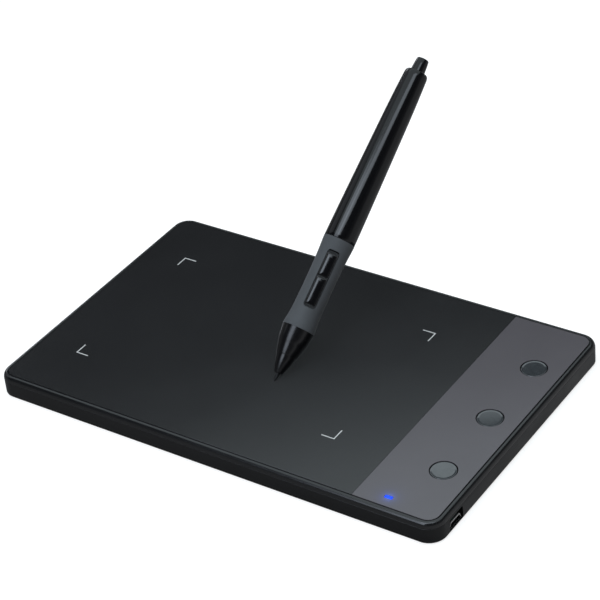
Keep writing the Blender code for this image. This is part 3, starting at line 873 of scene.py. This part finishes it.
def make_nib(finish):
    """Nib: a thin rod with a tapered, rounded point."""
    high = pen_span("nib")[1]
    radius = 0.85 * MM
    end_chamfer = 0.2 * MM
    point = [(0.0, 0.0), (0.16, 0.04), (0.30, 0.18), (0.40, 0.55), (0.52, 1.1), (0.68, 1.9)]
    profile = [
        *in_mm(smooth_curve(point, 4)),
        (radius, 2.9 * MM),
        (radius, high - end_chamfer),
        (radius - end_chamfer, high),
        (0.0, high),
    ]
    nib = piece_from(lathe(profile, 40), "nib_tip", finish, PEN, 50.0)
    settle(nib, "pen_nib", "nib_black", "nib")


def make_front_cone(finish):
    """Glossy front cone: slim nose, small step, then a fuller curve up to the grip."""
    low, high = pen_span("pen_cone")
    step = 9.2
    nose = smooth_curve([(1.68, 3.2), (2.40, 5.2), (3.02, 7.2), (3.48, step)], 6)
    body = smooth_curve([
        (3.70, step + 0.12), (4.18, 11.0), (4.68, 13.0), (5.18, 15.0), (5.66, high / MM),
    ], 8)
    profile = [
        (1.05 * MM, low),
        (1.40 * MM, low),
        (1.52 * MM, low + 0.12 * MM),
        *in_mm(nose),
        (3.64 * MM, step * MM),
        *in_mm(body),
        (4.10 * MM, high),
        (3.60 * MM, 13.0 * MM),
        (2.50 * MM, 9.9 * MM),
        (1.05 * MM, 9.4 * MM),
    ]
    cone = piece_from(lathe(profile, 96, True), "front_cone", finish, PEN, 28.0)
    settle(cone, "pen", "gloss_black", "pen_cone")


def window_prism(half_y, low, high, corner=0.95 * MM, near=1.5 * MM, far=8.0 * MM):
    """A rounded slot pushed out through the pen's wall where the side buttons sit."""
    form = bmesh.new()
    outline = rounded_outline(half_y, (high - low) / 2, corner, 6)
    middle = (low + high) / 2
    skin(form, [[form.verts.new((x, y, z + middle)) for y, z in outline] for x in (near, far)])
    return form


def make_grip(finish, painted_shade_finish):
    """Waisted soft grip with a rounded window for the two side buttons; the window's cut walls carry
    near-black painted shade.
    """
    low, high = pen_span("pen_grip")
    below, above, beside = 1.0 * MM, 1.3 * MM, 0.35 * MM
    window_low = pen_span("side_button_lower")[0] - below
    window_high = pen_span("side_button_upper")[1] + above
    window_half = pen_extent("side_button_lower", 1)[1] + beside
    bore = 4.0 * MM
    outer = smooth_curve([
        (5.68, low / MM), (5.56, 20.7), (5.28, 23.0), (5.08, 26.5), (4.98, 33.5), (5.02, 41.0),
        (5.20, 46.5), (5.42, 50.0), (5.50, high / MM),
    ], 6)
    profile = [*in_mm(outer), (bore, high), (bore, low)]
    grip = piece_from(lathe(profile, 120, True), "soft_grip", finish, PEN)
    # the window's cut walls take the near-black painted shade instead of the grip's grey
    combine(grip, tool(window_prism(window_half, window_low, window_high), PEN, painted_shade_finish))
    soften(grip, 0.12 * MM, 3, 50.0)
    settle(grip, "pen", "grip_grey", "pen_grip")


def make_side_button(name, finish):
    """Glossy side button: a top crowned across the pen, and rounded edges."""
    node = f"side_button_{name}"
    low, high = pen_span(node)
    bottom, top = pen_extent(node, 0)
    half_y = pen_extent(node, 1)[1]
    edge = 0.45 * MM
    corner, least_corner = 0.6 * MM, 0.04 * MM
    crown_radius = 4.2 * MM
    half_length = (high - low) / 2
    top_rings = 4
    top_reach = half_y - edge - 0.05 * MM
    rings = [(0.0, bottom)]
    rings += [(edge * (1 - cos(a)), top - edge + edge * sin(a)) for a in arc(0.0, pi / 2, 8)]
    rings += [(edge + top_reach * i / top_rings, top) for i in range(1, top_rings + 1)]
    form = bmesh.new()
    loops = []
    for inset, height in rings:
        outline = rounded_outline(half_y - inset, half_length - inset,
                                  max(corner - inset, least_corner), 6)
        crown = 1 / (2 * crown_radius) if height > bottom else 0.0
        loops.append([form.verts.new((height - crown * y ** 2, y, z)) for y, z in outline])
    skin(form, loops)
    centre = Matrix.Translation((0, 0, (high + low) / 2))
    button = piece_from(form, f"rocker_{name}", finish, PEN @ centre, 50.0)
    settle(button, f"{name}_button", "gloss_black", node)


def make_barrel(finish):
    """Glossy tapered barrel with a rounded shoulder, bored for the cell and the end plug."""
    low, shoulder = pen_span("pen_barrel")
    start, top = low / MM, shoulder / MM
    plug_bore = 1.75 * MM
    turn = (4.13, top - 1.6)
    side = smooth_curve([
        (5.45, start + 0.12), (5.40, 58.0), (5.21, 70.0), (5.00, 82.0), (4.69, 98.0), (4.46, 106.0),
        (4.30, 110.0), turn,
    ], 6)
    crown = smooth_curve([turn, (3.96, top - 0.75), (3.60, top - 0.22), (3.0, top - 0.03)], 5)
    profile = [
        (5.38 * MM, low),
        *in_mm(side),
        *in_mm(crown[1:]),
        (plug_bore, shoulder),
        (plug_bore, 109.5 * MM),
        (2.90 * MM, 108.0 * MM),
        (3.20 * MM, 100.3 * MM),
        (4.15 * MM, 97.0 * MM),
        (4.15 * MM, 58.4 * MM),
        (4.80 * MM, 57.6 * MM),
        (4.80 * MM, low),
    ]
    barrel = piece_from(lathe(profile, 120, True), "barrel_tube", finish, PEN, 40.0)
    settle(barrel, "barrel", "gloss_black", "pen_barrel")


def make_end_cap(finish):
    """End plug of the barrel: a tapered knob with a rounded end, on a thinner stem."""
    shoulder = pen_span("pen_barrel")[1] + 0.1 * MM
    low, high = pen_span("end_plug")
    top = high / MM
    stem = 1.65 * MM
    profile = [
        (0.0, high - 0.06 * MM),
        *in_mm(smooth_curve([(1.50, top - 0.05), (1.92, top - 0.14), (2.14, top - 0.45)], 5)),
        (2.32 * MM, high - 2.2 * MM),
        (2.50 * MM, shoulder),
        (stem, shoulder),
        (stem, low),
        (0.0, low),
    ]
    plug = piece_from(lathe(profile, 64), "end_cap", finish, PEN, 40.0)
    settle(plug, "barrel", "gloss_black", "end_plug")


# ------------------------------------------------------------- CAD nodes that keep their shape
def finish_cad_nodes(made):
    """Better materials on the CAD nodes whose shape is already right."""
    by_finish = {
        "steel": ["key_switch_1", "key_switch_2", "key_switch_3", "crystal", "shield_plate",
                  *SCREW_NODES, "pressure_sensor", "side_switch_lower", "side_switch_upper",
                  "battery_contact", "battery_spring"],
        "white": ["key_plunger_1", "key_plunger_2", "key_plunger_3", "status_led"],
        "moulded": ["controller_chip", "amplifier_chip"],
        # the pen's core, seen through the button window, is painted near-black as shade
        "painted_shade": ["pen_core"],
        "copper": ["pen_coil"],
        "board": ["main_board"],
        "dark_board": ["pen_board"],
        "cell": ["battery"],
    }
    for finish, nodes in by_finish.items():
        for node in nodes:
            slots = frame["nodes"][node].data.materials
            slots.clear()
            slots.append(made[finish])


def soften_pen_shadow():
    """The pen is left out of what the glossy sheet mirrors, so its shadow stays faint."""
    clear_of_tablet = SHEET_Z + 5.0 * MM
    for thing in bpy.data.objects:
        if thing.type != "MESH":
            continue
        top = max((thing.matrix_world @ Vector(corner)).z for corner in thing.bound_box)
        if top > clear_of_tablet:
            thing.visible_glossy = False


# --------------------------------------------------------------------------- studio and camera
def make_floor():
    """Pale floor with a glow of its own, which is strongest round the tablet."""
    radius = 12.0
    near, far = 0.27, 0.70
    near_glow, far_glow = 0.74, 0.42
    form = bmesh.new()
    bmesh.ops.create_circle(form, cap_ends=True, segments=96, radius=radius)
    floor_finish = new_material("studio_floor", (0.36, 0.35, 0.34), 0.9, Emission_Strength=1.0)
    nodes, links = floor_finish.node_tree.nodes, floor_finish.node_tree.links
    place = nodes.new("ShaderNodeTexCoord")
    distance = nodes.new("ShaderNodeVectorMath")
    distance.operation = "LENGTH"
    links.new(place.outputs["Object"], distance.inputs[0])
    glow = spread(floor_finish, distance.outputs["Value"], near_glow, far_glow, near, far)
    links.new(glow, shader_of(floor_finish).inputs["Emission Strength"])
    shader_of(floor_finish).inputs["Emission Color"].default_value = (1.0, 1.0, 1.0, 1.0)
    floor = piece_from(form, "floor", floor_finish)
    floor.visible_glossy = False


def make_world():
    """Dim studio, paler round the horizon and just under it, and towards the right."""
    world = bpy.data.worlds.new("studio")
    bpy.context.scene.world = world
    world.use_nodes = True
    nodes, links = world.node_tree.nodes, world.node_tree.links
    place = nodes.new("ShaderNodeTexCoord")
    split = nodes.new("ShaderNodeSeparateXYZ")
    links.new(place.outputs["Generated"], split.inputs["Vector"])
    height = nodes.new("ShaderNodeMapRange")
    height.inputs["From Min"].default_value = -1.0
    links.new(split.outputs["Z"], height.inputs["Value"])
    ramp = nodes.new("ShaderNodeValToRGB")
    ramp.color_ramp.interpolation = "EASE"
    # how bright the world is, from straight down (-1) to straight up (1)
    levels = [(-1.0, 0.02), (-0.8, 0.06), (-0.57, 0.36), (0.0, 0.38), (0.25, 0.12), (0.5, 0.05),
              (1.0, 0.04)]
    tint = (0.98, 1.0, 1.03)
    elements = ramp.color_ramp.elements
    for _ in levels[2:]:
        elements.new(0.5)
    for element, (rise, level) in zip(elements, levels):
        element.position = (rise + 1.0) / 2
        element.color = (*(level * part for part in tint), 1.0)
    links.new(height.outputs["Result"], ramp.inputs["Fac"])
    sideways = nodes.new("ShaderNodeMapRange")
    sideways.inputs["From Min"].default_value = -1.0
    sideways.inputs["To Min"].default_value = 0.55
    sideways.inputs["To Max"].default_value = 1.45
    links.new(split.outputs["X"], sideways.inputs["Value"])
    links.new(ramp.outputs["Color"], nodes["Background"].inputs["Color"])
    links.new(sideways.outputs["Result"], nodes["Background"].inputs["Strength"])


def add_softbox(name, shape, place, aim, size, radiance, colour):
    """A studio light of that size (width, height), aimed at a point."""
    light = bpy.data.lights.new(name, "AREA")
    light.shape = shape
    light.size, light.size_y = size
    area = size[0] * size[1] * (pi / 4 if shape == "ELLIPSE" else 1.0)
    light.energy = radiance * area * pi
    light.color = colour
    placed = bpy.data.objects.new(name, light)
    placed.location = place
    placed.rotation_euler = (Vector(place) - Vector(aim)).to_track_quat("Z", "Y").to_euler()
    placed.visible_camera = False
    bpy.context.scene.collection.objects.link(placed)


def make_lights():
    """Softboxes overhead, at the front and at the left, and the glow round the status light."""
    above, below = (-0.03, 0.30, 1.0), (-0.03, 0.30, 0.0)
    tablet = (0.0, 0.0, 0.03)
    teal, pale_blue, blue = (0.88, 1.0, 1.05), (0.95, 1.0, 1.08), (0.90, 1.0, 1.15)
    add_softbox("overhead", "ELLIPSE", above, below, (1.90, 1.90), 1.45, teal)
    add_softbox("front", "RECTANGLE", (-0.15, -0.90, 0.86), tablet, (0.62, 1.00), 3.8, blue)
    add_softbox("front_top", "ELLIPSE", (0.32, -0.36, 0.98), tablet, (0.85, 0.30), 3.0, blue)
    add_softbox("left_fill", "RECTANGLE", (-1.20, -0.10, 0.80), tablet, (0.80, 0.80), 0.6, pale_blue)
    add_softbox("left_rim", "RECTANGLE", (-1.24, 0.66, 0.51), tablet, (0.50, 0.40), 3.0, pale_blue)

    lamp = middle_of("light_guide")
    glow = bpy.data.lights.new("status_glow", "POINT")
    glow.color = (0.03, 0.16, 1.0)
    glow.energy = 0.0007
    glow.shadow_soft_size = 0.6 * MM
    placed = bpy.data.objects.new("status_glow", glow)
    placed.location = (lamp.x, lamp.y, SHEET_Z + 1.4 * MM)
    placed.visible_camera = False
    placed.visible_glossy = False
    bpy.context.scene.collection.objects.link(placed)


def make_camera():
    """A long lens from the front right, above, rolled a little."""
    azimuth, elevation, roll = radians(36.644), radians(34.584), radians(-6.001)
    aim = Vector((-3.71 * MM, 10.45 * MM, SHEET_Z + 15.37 * MM))
    distance = 747.75 * MM
    back = Vector((sin(azimuth) * cos(elevation), -cos(azimuth) * cos(elevation), sin(elevation)))
    right = Vector((cos(azimuth), sin(azimuth), 0.0))
    turn = Matrix((right, back.cross(right), back)).transposed() @ Matrix.Rotation(roll, 3, "Z")
    lens = bpy.data.cameras.new("camera")
    lens.sensor_width = 36.0
    lens.lens = 132.81
    lens.clip_start = 0.05
    camera = bpy.data.objects.new("camera", lens)
    camera.matrix_world = Matrix.Translation(aim + back * distance) @ turn.to_4x4()
    bpy.context.scene.collection.objects.link(camera)
    bpy.context.scene.camera = camera


# ------------------------------------------------------------------------------------ build
make_camera()
make_world()
make_lights()
make_floor()
bpy.context.scene.view_settings.view_transform = "Standard"

FINISH = {**tablet_materials(), **pen_materials(), **inner_materials()}
make_upper_shell(FINISH["upper_shell"])
make_lower_shell(FINISH["lower_shell"], FINISH["painted_shade"])
make_sheets(FINISH["sheet"], FINISH["strip"])
make_corner_marks(FINISH["ink"])
for number in (1, 2, 3):
    make_key(number, FINISH["key"])
make_status_light(FINISH["lamp"])
make_usb_socket(FINISH["socket"], FINISH["painted_shade"])
make_usb_tongue(FINISH["moulded"], FINISH["gold"])
for number in (1, 2, 3, 4):
    make_foot(number, FINISH["rubber"])
make_nib(FINISH["nib"])
make_front_cone(FINISH["cone"])
make_grip(FINISH["grip"], FINISH["painted_shade"])
for name in ("lower", "upper"):
    make_side_button(name, FINISH["rocker"])
make_barrel(FINISH["gloss"])
make_end_cap(FINISH["gloss"])
finish_cad_nodes(FINISH)
soften_pen_shadow()
